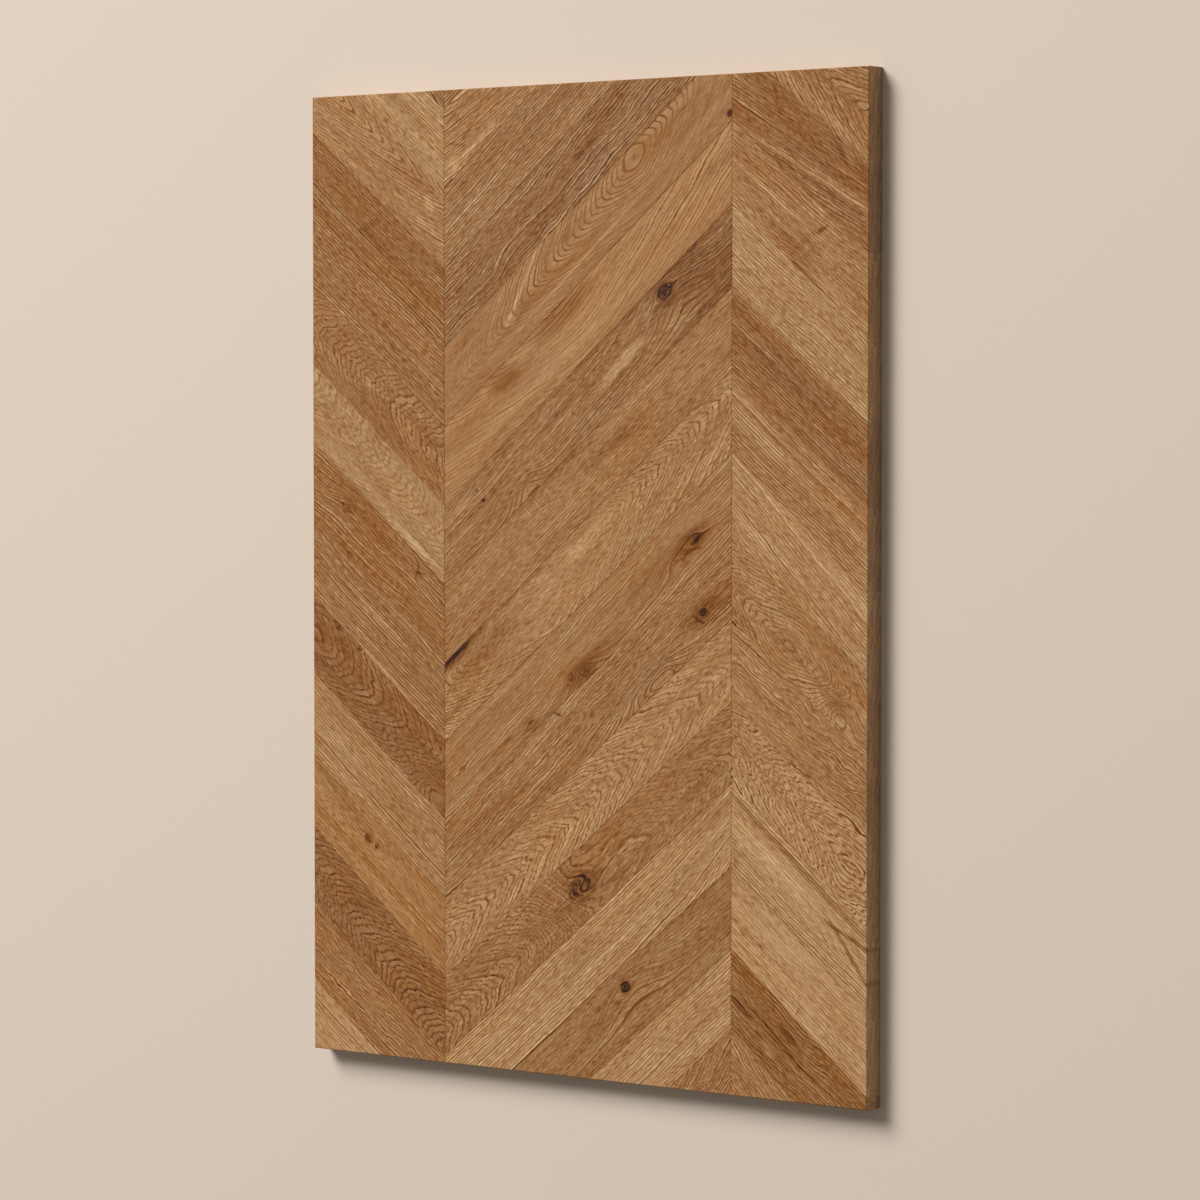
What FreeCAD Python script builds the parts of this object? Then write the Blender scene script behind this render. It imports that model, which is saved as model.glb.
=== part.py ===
# Chevron parquet panel of solid oak staves, lying face up.
#
# The panel is sawn from a glued-up field of staves. Three bands of staves meet on two straight
# seams that run along the panel's length, and the grain changes direction at each seam, which
# makes the points of the chevron. Every stave is one piece of solid oak, moulded with a tongue
# on its lower long side and right-hand end and a groove on its upper long side and left-hand
# end, so that neighbours slot together on all four sides.
#
# Frame: X across the panel, Y along the seams (the top of the pattern is +Y), Z out of the face.
# The origin is the middle of the back. Lengths are millimetres and angles are degrees.

import FreeCAD, Part
import Sketcher
import math
import os

SIZES = [
    ("left_band", 178, "left edge to the first seam"),
    ("centre_band", 362, "first seam to the second"),
    ("right_band", 160, "second seam to the right edge"),
    ("panel_length", 1000, "sawn outline along the seams"),
    ("panel_thickness", 23, "back to face"),
    ("stave_width", 62.5, "one stave across its grain, joint to joint"),
    ("chevron_angle", 39.5, "slope of the grain against the panel's width"),
    ("first_joint", 20, "top edge down to the first joint, on the first seam"),
    ("smallest_offcut", 17.5, "a corner piece with a shorter side is cut in one with its neighbour"),
    ("lower_lip", 8.5, "back to the underside of the tongue"),
    ("tongue_thickness", 5, "underside to top of the tongue"),
    ("tongue_length", 5, "how far a tongue stands out of its side"),
    ("groove_clearance", 0.5, "a groove is this much deeper than its tongue is long"),
    ("joint_arris", 0.4, "bevel of the face along the joints"),
    ("edge_arris", 0.8, "bevel of the face along the sawn outline"),
]
BEVEL_ANGLE = 45

doc = FreeCAD.newDocument("chevron_parquet_panel")
sheet = doc.addObject("Spreadsheet::Sheet", "Sizes")
for line, (alias, number, meaning) in enumerate(SIZES, start=1):
    sheet.set(f"A{line}", alias)
    sheet.set(f"B{line}", str(number))
    sheet.set(f"C{line}", meaning)
    sheet.setAlias(f"B{line}", alias)
doc.recompute()


def value(expression):
    """What an expression on the sheet comes to."""
    return float(sheet.evalExpression(expression))


# Lengths that several pieces share, as expressions on the sheet
SLOPE = "tan(Sizes.chevron_angle)"
PITCH = "(Sizes.stave_width / cos(Sizes.chevron_angle))"
PANEL_WIDTH = "(Sizes.left_band + Sizes.centre_band + Sizes.right_band)"
LEFT_EDGE = f"(-{PANEL_WIDTH} / 2)"
FIRST_SEAM = f"({LEFT_EDGE} + Sizes.left_band)"
SECOND_SEAM = f"({FIRST_SEAM} + Sizes.centre_band)"
# The field is laid this far past the side edges, so that the saw takes the end grooves off whole
SAW_ALLOWANCE = "(2 * (Sizes.tongue_length + Sizes.groove_clearance))"

# Each band: which way its staves climb to the right, where it starts, how wide it is, how far
# a joint at its start stands above the same joint on the first seam, and how far the staves
# are laid past its start and its end for the saw
BANDS = {
    "left": {"climb": -1, "start": LEFT_EDGE, "width": "Sizes.left_band",
             "rise": f"(Sizes.left_band * {SLOPE})",
             "past_start": SAW_ALLOWANCE, "past_end": "0"},
    "centre": {"climb": 1, "start": FIRST_SEAM, "width": "Sizes.centre_band",
               "rise": "0",
               "past_start": "0", "past_end": "0"},
    "right": {"climb": -1, "start": SECOND_SEAM, "width": "Sizes.right_band",
              "rise": f"(Sizes.centre_band * {SLOPE})",
              "past_start": "0", "past_end": SAW_ALLOWANCE},
}


def new_sketch(body, name):
    """An empty sketch on the body's own XY plane."""
    sketch = body.newObject("Sketcher::SketchObject", name)
    ground = next(item for item in body.Origin.OriginFeatures if item.Role == "XY_Plane")
    sketch.AttachmentSupport = [(ground, "")]
    sketch.MapMode = "FlatFace"
    sketch.Visibility = False
    return sketch


def closed_outline(sketch, corners):
    """Joined lines through the corners; returns their numbers in the sketch."""
    points = [FreeCAD.Vector(x, y, 0) for x, y in corners]
    first = len(sketch.Geometry)
    for start, end in zip(points, points[1:] + points[:1]):
        sketch.addGeometry(Part.LineSegment(start, end), False)
    sides = list(range(first, first + len(points)))
    for side, following in zip(sides, sides[1:] + sides[:1]):
        sketch.addConstraint(Sketcher.Constraint("Coincident", side, 2, following, 1))
    return sides


def bind(sketch, name, constraint, expression):
    """Adds a named constraint and binds its value to the sheet."""
    number = sketch.addConstraint(constraint)
    sketch.renameConstraint(number, name)
    sketch.setExpression(f"Constraints.{name}", expression)


def stave_outline(body, name, band, span, tongued):
    """Parallelogram of a stave that is span staves wide, from its lower left corner.

    The tongued outline is the same one moved by a tongue's length over its lower side and its
    right-hand end, and cut back by the groove's clearance on the other two."""
    reach = f"({band['width']} + {band['past_start']} + {band['past_end']})"
    width = f"({span} * Sizes.stave_width)"
    inset, drop = "0", "0"
    if tongued:
        reach = f"({reach} - Sizes.groove_clearance)"
        width = f"({width} - Sizes.groove_clearance)"
        inset = "(Sizes.tongue_length + Sizes.groove_clearance)"
        drop = "Sizes.tongue_length"
    climb = band["climb"] * value(SLOPE)
    upright = value("1 / cos(Sizes.chevron_angle)")
    near, far = value(inset), value(f"{inset} + {reach}")
    low = [(x, climb * x - value(drop) * upright) for x in (near, far)]
    high = [(x, y + value(width) * upright) for x, y in reversed(low)]
    sketch = new_sketch(body, name)
    low_side, far_end, high_side, near_end = closed_outline(sketch, low + high)
    sketch.addConstraint(Sketcher.Constraint("Vertical", far_end))
    sketch.addConstraint(Sketcher.Constraint("Vertical", near_end))
    sketch.addConstraint(Sketcher.Constraint("Parallel", low_side, high_side))
    grain = Sketcher.Constraint("Angle", low_side, math.atan(climb))
    bind(sketch, "grain", grain, f"{band['climb']} * Sizes.chevron_angle")
    bind(sketch, "width", Sketcher.Constraint("Distance", high_side, 1, low_side, value(width)), width)
    along = Sketcher.Constraint("DistanceX", low_side, 1, low_side, 2, value(reach))
    bind(sketch, "reach", along, reach)
    if tongued:
        groove = Sketcher.Constraint("DistanceX", -1, 1, low_side, 1, near)
        bind(sketch, "groove", groove, inset)
        bind(sketch, "tongue", Sketcher.Constraint("Distance", -1, 1, low_side, value(drop)), drop)
    else:
        sketch.addConstraint(Sketcher.Constraint("Coincident", low_side, 1, -1, 1))
    return sketch


def add_course(body, name, sketch, bottom, height):
    """One course of the moulded section: the sketch padded up from its height over the back."""
    sketch.setExpression("AttachmentOffset.Base.z", bottom)
    pad = body.newObject("PartDesign::Pad", name)
    pad.Profile = sketch
    pad.setExpression("Length", height)


def saw_lines(body, name, band, joint, inset, height):
    """The panel's sawn outline less an inset, inside a frame that is wider than the field."""
    sketch = new_sketch(body, name)
    sketch.setExpression("AttachmentOffset.Base.x", f"-{stave_start(band)}")
    sketch.setExpression("AttachmentOffset.Base.y", f"-{stave_height(band, joint)}")
    sketch.setExpression("AttachmentOffset.Base.z", height)
    field = f"({PANEL_WIDTH} + {SAW_ALLOWANCE} + Sizes.panel_length)"
    outlines = (("panel", f"{PANEL_WIDTH} - 2 * {inset}", f"Sizes.panel_length - 2 * {inset}"),
                ("field", f"2 * {field}", f"2 * {field}"))
    for label, width, length in outlines:
        x, y = value(width) / 2, value(length) / 2
        low, far, high, near = closed_outline(sketch, [(-x, -y), (x, -y), (x, y), (-x, y)])
        for level in (low, high):
            sketch.addConstraint(Sketcher.Constraint("Horizontal", level))
        for upright in (far, near):
            sketch.addConstraint(Sketcher.Constraint("Vertical", upright))
        sketch.addConstraint(Sketcher.Constraint("Symmetric", low, 1, high, 1, -1, 1))
        bind(sketch, f"{label}_width", Sketcher.Constraint("DistanceX", low, 1, low, 2, 2 * x), width)
        bind(sketch, f"{label}_length", Sketcher.Constraint("DistanceY", far, 1, far, 2, 2 * y), length)
    return sketch


def stave_start(band):
    """Where the left-hand ends of a band's staves stand, across the panel."""
    return f"({band['start']} - {band['past_start']})"


def stave_height(band, joint):
    """How high the numbered joint meets the left-hand end of its stave, along the panel."""
    on_seam = f"Sizes.panel_length / 2 - Sizes.first_joint - {joint} * {PITCH}"
    return f"({on_seam} + {band['rise']} - {band['climb']} * {band['past_start']} * {SLOPE})"


def mould_stave(name, band, joint, span):
    """The tongued and grooved blank above the numbered joint, not yet bevelled or sawn."""
    body = doc.addObject("PartDesign::Body", name)
    body.Label = name
    body.setExpression("Placement.Base.x", stave_start(band))
    body.setExpression("Placement.Base.y", stave_height(band, joint))
    tongue_top = "(Sizes.lower_lip + Sizes.tongue_thickness)"
    courses = (("lower_lip", "0", "Sizes.lower_lip"),
               ("tongue", "Sizes.lower_lip", "Sizes.tongue_thickness"),
               ("upper_lip", tongue_top, f"Sizes.panel_thickness - {tongue_top}"))
    for course, bottom, thickness in courses:
        sketch = stave_outline(body, f"{name}_{course}_outline", band, span, course == "tongue")
        add_course(body, f"{name}_{course}", sketch, bottom, thickness)
    return body


def bevel_joints(body):
    """Bevels the four edges of the moulded blank's face."""
    blank = body.Tip
    top = value("Sizes.panel_thickness")
    on_face = lambda edge: all(abs(end.Point.z - top) < 1e-4 for end in edge.Vertexes)
    edges = [f"Edge{number}" for number, edge in enumerate(blank.Shape.Edges, 1) if on_face(edge)]
    chamfer = body.newObject("PartDesign::Chamfer", f"{body.Name}_joint_bevel")
    chamfer.Base = (blank, edges)
    chamfer.setExpression("Size", "Sizes.joint_arris")


def saw_and_bevel_edge(body, band, joint):
    """Saws the stave off on the panel's outline and bevels what the saw left of its face."""
    saw = body.newObject("PartDesign::Pocket", f"{body.Name}_sawn")
    saw.Profile = saw_lines(body, f"{body.Name}_saw_lines", band, joint, "0", "0")
    saw.Type = "ThroughAll"
    saw.Reversed = True
    lines = saw_lines(body, f"{body.Name}_bevel_lines", band, joint, "Sizes.edge_arris",
                      "Sizes.panel_thickness")
    bevel = body.newObject("PartDesign::Pocket", f"{body.Name}_edge_bevel")
    bevel.Profile = lines
    bevel.TaperAngle = BEVEL_ANGLE
    bevel.setExpression("Length", "Sizes.edge_arris")
    body.Tip = bevel


def band_rows(band):
    """Rows of a band from the top: the joint under each stave, its span, and if the saw meets it.

    A stave belongs to the band while a piece of it no smaller than the smallest offcut lies
    inside the outline. The first and the last are laid two staves wide, so that they reach past
    the corner whatever the saw leaves there."""
    rises = [value(band["rise"]), value(f"{band['rise']} + {band['climb']} * {band['width']} * {SLOPE}")]
    lowest, highest = min(rises), max(rises)
    length, offcut = value("Sizes.panel_length"), value("Sizes.smallest_offcut")
    first_joint, pitch = value("Sizes.first_joint"), value(PITCH)
    tongue_drop = value(f"Sizes.tongue_length * (1 / cos(Sizes.chevron_angle) + {SLOPE})")
    first = math.ceil((offcut + lowest - first_joint) / pitch)
    last = math.ceil((length - offcut + highest - first_joint) / pitch)
    rows = []
    for joint in range(first, last + 1):
        top = first_joint + (joint - 1) * pitch - highest
        bottom = first_joint + joint * pitch - lowest + tongue_drop
        whole = top > 0 and bottom < length
        span = 1 + (joint == first) + (joint == last)
        rows.append((joint + (joint == last), span, band is not BANDS["centre"] or not whole))
    return rows


rows = {}
for label, band in BANDS.items():
    for number, (joint, span, sawn) in enumerate(band_rows(band), start=1):
        stave = mould_stave(f"{label}_stave_{number:02d}", band, joint, span)
        rows[stave] = (band, joint, sawn)
doc.recompute()
for stave, (band, joint, sawn) in rows.items():
    bevel_joints(stave)
    if sawn:
        saw_and_bevel_edge(stave, band, joint)
doc.recompute()

# Every object is sound before anything is written
failed = [item.Name for item in doc.Objects if {"Invalid", "Error"} & set(item.State)]
if failed:
    raise RuntimeError(f"failed objects: {failed}")
for stave in rows:
    if stave.Shape.isNull() or not stave.Shape.isValid() or len(stave.Shape.Solids) != 1:
        raise RuntimeError(f"{stave.Name} is not one valid solid")

os.makedirs("parts", exist_ok=True)
for stave in rows:
    stave.Shape.exportStep(f"parts/{stave.Label}.step")

oak = sum(stave.Shape.Volume for stave in rows)
block = value(f"{PANEL_WIDTH} * Sizes.panel_length * Sizes.panel_thickness")
print(f"{len(rows)} staves, {oak / 1e6:.3f} litres of oak, {100 * oak / block:.2f} % of the plain block")
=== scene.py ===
# %% [markdown]
# A chevron parquet panel. The solids are already cut: 46 staves of oak, glued edge to edge, lying flat with
# the face up. This lesson dresses them. It sets up the camera, the floor and the light, and then works out
# one way of drawing oak that every stave can share, because all of them come from the same kind of tree.
# What differs from stave to stave is where in the log it was sawn, and that is written down stave by stave.

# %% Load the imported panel
from math import cos, radians, sin, tan

import bpy
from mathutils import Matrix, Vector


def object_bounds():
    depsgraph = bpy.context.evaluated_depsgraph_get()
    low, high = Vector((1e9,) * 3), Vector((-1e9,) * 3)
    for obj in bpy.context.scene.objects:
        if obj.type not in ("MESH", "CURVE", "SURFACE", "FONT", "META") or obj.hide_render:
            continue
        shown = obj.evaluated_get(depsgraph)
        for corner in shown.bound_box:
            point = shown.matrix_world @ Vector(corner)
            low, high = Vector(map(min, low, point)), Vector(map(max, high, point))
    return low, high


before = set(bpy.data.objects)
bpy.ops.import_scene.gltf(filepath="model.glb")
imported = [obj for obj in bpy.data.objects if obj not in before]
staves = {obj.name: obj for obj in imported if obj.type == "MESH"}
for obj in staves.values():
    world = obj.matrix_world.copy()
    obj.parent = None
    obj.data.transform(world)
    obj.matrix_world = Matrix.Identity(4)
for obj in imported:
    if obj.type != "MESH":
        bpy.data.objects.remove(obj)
cad_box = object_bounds()
print(len(staves), "staves,", [round(top - low, 4) for low, top in zip(*cad_box)], "m")

# %% [markdown]
# The camera stands well back to the right of the panel and looks down on it at a slant, so that the
# right-hand sawn edge shows as a narrow dark strip. A long lens from over four metres keeps the seams
# nearly parallel. The two angles and the place were found by matching the four corners of the face in a
# 1200 by 1200 picture.

# %% Camera
camera_data = bpy.data.cameras.new("long_lens")
camera_data.sensor_width = 36
camera_data.lens = 132.3
camera = bpy.data.objects.new("camera", camera_data)
camera.location = (2.693, 0.168, 3.5334)
camera.rotation_euler = (radians(-2.403), radians(37.2), 0)
bpy.context.scene.collection.objects.link(camera)
bpy.context.scene.camera = camera
print("camera", round(camera.location.length, 2), "m away")

# %% [markdown]
# Colours are written as they would be picked from a paint card, in sRGB hex, and one function turns them
# into the linear values that Blender's shaders work with. A second function adds a node to any node tree,
# with its settings and its links, so that the trees below read as lists of steps.


# %% Helpers for colours and nodes
def linear(hex_colour):
    """A colour written as #RRGGBB in sRGB, as the linear RGBA that a shader takes."""
    parts = [int(hex_colour[start:start + 2], 16) / 255 for start in (1, 3, 5)]
    return [part / 12.92 if part <= 0.04045 else ((part + 0.055) / 1.055) ** 2.4 for part in parts] + [1]


def add(tree, kind, settings=None, inputs=None):
    """Adds one node. Settings are its own properties. Each input is a value or the socket it links to."""
    node = tree.nodes.new(kind)
    for name, value in (settings or {}).items():
        setattr(node, name, value)
    for key, value in (inputs or {}).items():
        if isinstance(value, bpy.types.NodeSocket):
            tree.links.new(value, node.inputs[key])
        else:
            node.inputs[key].default_value = value
    return node


MATH = "ShaderNodeMath"
VECTOR = "ShaderNodeVectorMath"
NOISE = "ShaderNodeTexNoise"
print("white is", linear("#FFFFFF"))

# %% [markdown]
# The floor is one large matt sheet the colour of pale plaster. It is far bigger than the panel, so that
# from a low camera it still fills the picture, and the world behind it has the same colour to the camera's
# eye only.

# %% Floor
PLASTER = "#D6C7B7"
bpy.ops.object.select_all(action="DESELECT")
bpy.ops.mesh.primitive_plane_add(size=30)
floor = bpy.context.object
floor.name = "floor"
plaster = bpy.data.materials.new("matt_plaster")
plaster.use_nodes = True
plaster_shader = plaster.node_tree.nodes["Principled BSDF"]
plaster_shader.inputs["Base Color"].default_value = linear(PLASTER)
plaster_shader.inputs["Roughness"].default_value = 0.9
plaster_shader.inputs["Specular IOR Level"].default_value = 0.2
floor.data.materials.append(plaster)
print("floor", floor.dimensions[0], "m wide")

# %% [markdown]
# The light is a photographer's: one big soft box high on the left, and a weak even light from all round
# that keeps the sawn edge on the right readable. Together they light the face at a level where a colour
# comes out about as it is written. The box is wide, so the panel's shadow on the floor has a soft edge.

# %% Light
soft_box = bpy.data.lights.new("soft_box", "AREA")
soft_box.shape = "SQUARE"
soft_box.size = 7
soft_box.energy = 2500
soft_box_object = bpy.data.objects.new("soft_box", soft_box)
soft_box_object.location = (-6.2, 8.6, 9.0)
soft_box_object.rotation_euler = (-soft_box_object.location).to_track_quat("-Z", "Y").to_euler()
bpy.context.scene.collection.objects.link(soft_box_object)

world = bpy.data.worlds.new("studio")
bpy.context.scene.world = world
world.use_nodes = True
sky = world.node_tree
sky.nodes.clear()
ray = add(sky, "ShaderNodeLightPath")
even_light = add(sky, "ShaderNodeBackground", None, {"Color": linear("#FFFDF8"), "Strength": 0.22})
far_wall = add(sky, "ShaderNodeBackground", None, {"Color": linear(PLASTER), "Strength": 1.0})
seen = add(sky, "ShaderNodeMixShader", None,
           {0: ray.outputs["Is Camera Ray"], 1: even_light.outputs[0], 2: far_wall.outputs[0]})
add(sky, "ShaderNodeOutputWorld", None, {"Surface": seen.outputs[0]})
bpy.context.scene.view_settings.view_transform = "Standard"
print("soft box of", soft_box.energy, "W")

# %% [markdown]
# Oak is drawn the way it grows. A tree lays down one ring a year round its pith, so a log is a bundle of
# nested tubes, and a sawn board shows wherever it cuts those tubes: straight stripes far from the pith,
# arches where the cut runs close to it. Drawing rings in space, and not stripes on a surface, gives the
# right figure on the face and carries it over the sawn edges too. The steps below work in millimetres in a
# stave's own directions: x along the grain, y across it from the upper joint down, and z up out of the
# face.

# %% Oak grain group: sockets
grain = bpy.data.node_groups.new("oak_grain", "ShaderNodeTree")
for name, kind in (("Place", "Vector"), ("Seed", "Float"), ("Heart", "Vector"), ("Lean", "Float"),
                   ("Taper", "Float"), ("Round", "Float"), ("Bow", "Float"), ("Swell", "Float"),
                   ("Ring width", "Float"), ("Wave", "Float"), ("Wave scale", "Float"), ("Teeth", "Float"),
                   ("Line share", "Float"), ("Lines", "Float"), ("Dashes", "Float"), ("Bands", "Float"),
                   ("Streaks", "Float"), ("Flecks", "Float")):
    grain.interface.new_socket(name, in_out="INPUT", socket_type="NodeSocket" + kind)
for name, kind in (("Tone", "Float"), ("Place", "Vector")):
    grain.interface.new_socket(name, in_out="OUTPUT", socket_type="NodeSocket" + kind)
given = add(grain, "NodeGroupInput").outputs
print("oak_grain has", len(grain.interface.items_tree), "sockets")

# %% [markdown]
# Most of what is irregular in wood is drawn with noise. A noise node makes about one patch of light or dark
# for each unit of the place it is given, round a middle of a half. So for patches of a known size the place
# in millimetres is divided by their length along the grain and by their thickness.


# %% Helper for the size of a noise
def patch_size(length, thickness):
    """What a place is multiplied by to give a noise patches of this length and thickness, in mm."""
    return (1 / length, 1 / thickness, 1 / thickness)


MIDDLE = 0.5
print("patches of 50 by 2 mm take a scale of", patch_size(50, 2))

# %% [markdown]
# A real stem is never a perfect tube. It wanders, so the rings are pushed about by a slow noise that is
# longer along the grain than across it. One noise pushes them sideways and a second, taken elsewhere, in
# depth. Each stave has its own seed, which moves it to another part of the log.

# %% Oak grain group: the wandering stem
WANDER = patch_size(95, 45)
SEED_STEP = (731, 377, 519)
ELSEWHERE = (31, 17, 53)
seed_shift = add(grain, VECTOR, {"operation": "SCALE"}, {0: SEED_STEP, "Scale": given["Seed"]}).outputs[0]
in_log = add(grain, VECTOR, {"operation": "ADD"}, {0: given["Place"], 1: seed_shift}).outputs[0]
slow_place = add(grain, VECTOR, {"operation": "MULTIPLY"}, {0: in_log, 1: WANDER}).outputs[0]
sideways = add(grain, NOISE, None, {
    "Vector": slow_place, "Scale": given["Wave scale"], "Detail": 3, "Roughness": 0.5}).outputs[0]
deeper_place = add(grain, VECTOR, {"operation": "ADD"}, {0: slow_place, 1: ELSEWHERE}).outputs[0]
deeper = add(grain, NOISE, None, {
    "Vector": deeper_place, "Scale": given["Wave scale"], "Detail": 3, "Roughness": 0.5}).outputs[0]
wander = add(grain, "ShaderNodeCombineXYZ", None, {0: MIDDLE, 1: sideways, 2: deeper}).outputs[0]
centred = add(grain, VECTOR, {"operation": "SUBTRACT"}, {0: wander, 1: (MIDDLE, MIDDLE, MIDDLE)}).outputs[0]
push = add(grain, VECTOR, {"operation": "SCALE"}, {0: centred, "Scale": given["Wave"]}).outputs[0]
bent = add(grain, VECTOR, {"operation": "ADD"}, {0: push, 1: given["Place"]}).outputs[0]
bent_in_log = add(grain, VECTOR, {"operation": "ADD"}, {0: bent, 1: seed_shift}).outputs[0]
print("oak_grain has", len(grain.nodes), "nodes")

# %% [markdown]
# The stem is made of fibres, long threads a millimetre or two thick in this drawing. They show as soft
# streaks, and they also saw-tooth the ring lines: where a line runs across the grain, each thread carries
# it a little further along or holds it back, and whole bundles of threads do the same on a larger scale and
# harder.

# %% Oak grain group: fibres
FIBRES = patch_size(50, 1.6)
BUNDLES = patch_size(70, 8)
BUNDLE_PULL = 3.5
fibre_place = add(grain, VECTOR, {"operation": "MULTIPLY"}, {0: bent_in_log, 1: FIBRES}).outputs[0]
fibres = add(grain, NOISE, None, {
    "Vector": fibre_place, "Scale": 1, "Detail": 1, "Roughness": 0.6}).outputs[0]
fibre_shade = add(grain, MATH, {"operation": "SUBTRACT"}, {0: fibres, 1: MIDDLE}).outputs[0]
bundle_place = add(grain, VECTOR, {"operation": "MULTIPLY"}, {0: in_log, 1: BUNDLES}).outputs[0]
bundles = add(grain, NOISE, None, {
    "Vector": bundle_place, "Scale": 1, "Detail": 2, "Roughness": 0.6}).outputs[0]
bundle_shade = add(grain, MATH, {"operation": "SUBTRACT"}, {0: bundles, 1: MIDDLE}).outputs[0]
held = add(grain, MATH, {"operation": "MULTIPLY_ADD"},
           {0: bundle_shade, 1: BUNDLE_PULL, 2: fibre_shade}).outputs[0]
tooth = add(grain, MATH, {"operation": "MULTIPLY"}, {0: held, 1: given["Teeth"]}).outputs[0]
tooth_along = add(grain, VECTOR, {"operation": "SCALE"}, {0: (1, 0, 0), "Scale": tooth}).outputs[0]
toothed = add(grain, VECTOR, {"operation": "ADD"}, {0: bent, 1: tooth_along}).outputs[0]
print("oak_grain has", len(grain.nodes), "nodes")

# %% [markdown]
# The ring count grows away from the heart of the figure, the spot where the cut comes nearest to the pith.
# Along the grain it grows with the log's taper, and across the grain and down through the thickness one for
# one. So its level lines are nested arches that close into ovals round the heart, and far from it they are
# straight stripes. The bow says in mm how blunt the arches are, the round how long their ovals take to
# close, and the lean how far they drift sideways. A swell, where the log bulged over a hidden branch, adds
# ovals of its own. Years differ, so a noise that changes over about two of them pushes the rings closer or
# apart.

# %% Oak grain group: year rings
CHANGE_PER_YEAR = 0.45
UNEVENNESS = 1.1
from_heart = add(grain, VECTOR, {"operation": "SUBTRACT"}, {0: toothed, 1: given["Heart"]}).outputs[0]
axes = add(grain, "ShaderNodeSeparateXYZ", None, {0: from_heart}).outputs
drift = add(grain, MATH, {"operation": "MULTIPLY"}, {0: axes[0], 1: given["Lean"]}).outputs[0]
across = add(grain, MATH, {"operation": "SUBTRACT"}, {0: axes[1], 1: drift}).outputs[0]
along = add(grain, MATH, {"operation": "MULTIPLY"}, {0: axes[0], 1: given["Taper"]}).outputs[0]
rounding = add(grain, MATH, {"operation": "MULTIPLY"}, {0: given["Round"], 1: given["Round"]}).outputs[0]
rounded = add(grain, MATH, {"operation": "MULTIPLY_ADD"}, {0: along, 1: along, 2: rounding}).outputs[0]
climb = add(grain, MATH, {"operation": "SQRT"}, {0: rounded}).outputs[0]
blunting = add(grain, MATH, {"operation": "MULTIPLY"}, {0: given["Bow"], 1: given["Bow"]}).outputs[0]
blunted = add(grain, MATH, {"operation": "MULTIPLY_ADD"}, {0: across, 1: across, 2: blunting}).outputs[0]
arch = add(grain, MATH, {"operation": "SQRT"}, {0: blunted}).outputs[0]
on_face = add(grain, MATH, {"operation": "ADD"}, {0: climb, 1: arch}).outputs[0]
swollen = add(grain, MATH, {"operation": "ADD"}, {0: on_face, 1: given["Swell"]}).outputs[0]
growth_sum = add(grain, MATH, {"operation": "ADD"}, {0: swollen, 1: axes[2]}).outputs[0]
years = add(grain, MATH, {"operation": "DIVIDE"}, {0: growth_sum, 1: given["Ring width"]}).outputs[0]
year_place = add(grain, MATH, {"operation": "MULTIPLY_ADD"},
                 {0: years, 1: CHANGE_PER_YEAR, 2: given["Seed"]}).outputs[0]
growth = add(grain, NOISE, {"noise_dimensions": "1D"}, {"W": year_place, "Scale": 1, "Detail": 1}).outputs[0]
uneven = add(grain, MATH, {"operation": "MULTIPLY_ADD"}, {0: growth, 1: UNEVENNESS, 2: years}).outputs[0]
season = add(grain, MATH, {"operation": "FRACT"}, {0: uneven}).outputs[0]
print("oak_grain has", len(grain.nodes), "nodes")

# %% [markdown]
# Each year starts with a row of open vessels, which show as a dark line with a sharp front and a soft back.
# The line share says how much of the year it takes. A colour ramp holds its darkness from front to back.

# %% Oak grain group: one year's line
vessel_row = add(grain, MATH, {"operation": "DIVIDE"}, {0: season, 1: given["Line share"]}).outputs[0]
one_year = add(grain, "ShaderNodeValToRGB", None, {0: vessel_row})
one_year.color_ramp.elements[0].color = (0.5, 0.5, 0.5, 1)
one_year.color_ramp.elements[1].color = (0, 0, 0, 1)
for place, darkness in ((0.08, 1), (0.4, 0.9), (0.7, 0.4)):
    one_year.color_ramp.elements.new(place).color = (darkness, darkness, darkness, 1)
print("a year has", len(one_year.color_ramp.elements), "stops")

# %% [markdown]
# Two more things lie over the rings. Open vessels and rays give short dark and pale flecks. They are a
# quarter of a millimetre wide on real oak, too fine to show in the render, so they are drawn 0.8 mm wide
# and 8 mm long. A broad, slow change of tone keeps any two places from matching.

# %% Oak grain group: flecks and slow changes
FLECKS = patch_size(8, 0.8)
BROAD = patch_size(110, 12)
fleck_place = add(grain, VECTOR, {"operation": "MULTIPLY"}, {0: bent_in_log, 1: FLECKS}).outputs[0]
flecks = add(grain, NOISE, None, {"Vector": fleck_place, "Scale": 1, "Detail": 1}).outputs[0]
broad_place = add(grain, VECTOR, {"operation": "MULTIPLY"}, {0: bent_in_log, 1: BROAD}).outputs[0]
broad = add(grain, NOISE, None, {"Vector": broad_place, "Scale": 1, "Detail": 1}).outputs[0]
print("oak_grain has", len(grain.nodes), "nodes")

# %% [markdown]
# The rings' tone comes first. Part of what a line takes away is given back to the wood between the lines,
# so that strong lines darken a stave only a little. Good and bad years come in groups, so the noise that
# spaces the rings also makes some lines stronger than others. The broad change lets the figure fade and
# come back, and the flecks break up the line, because it is a row of single vessels.

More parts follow.
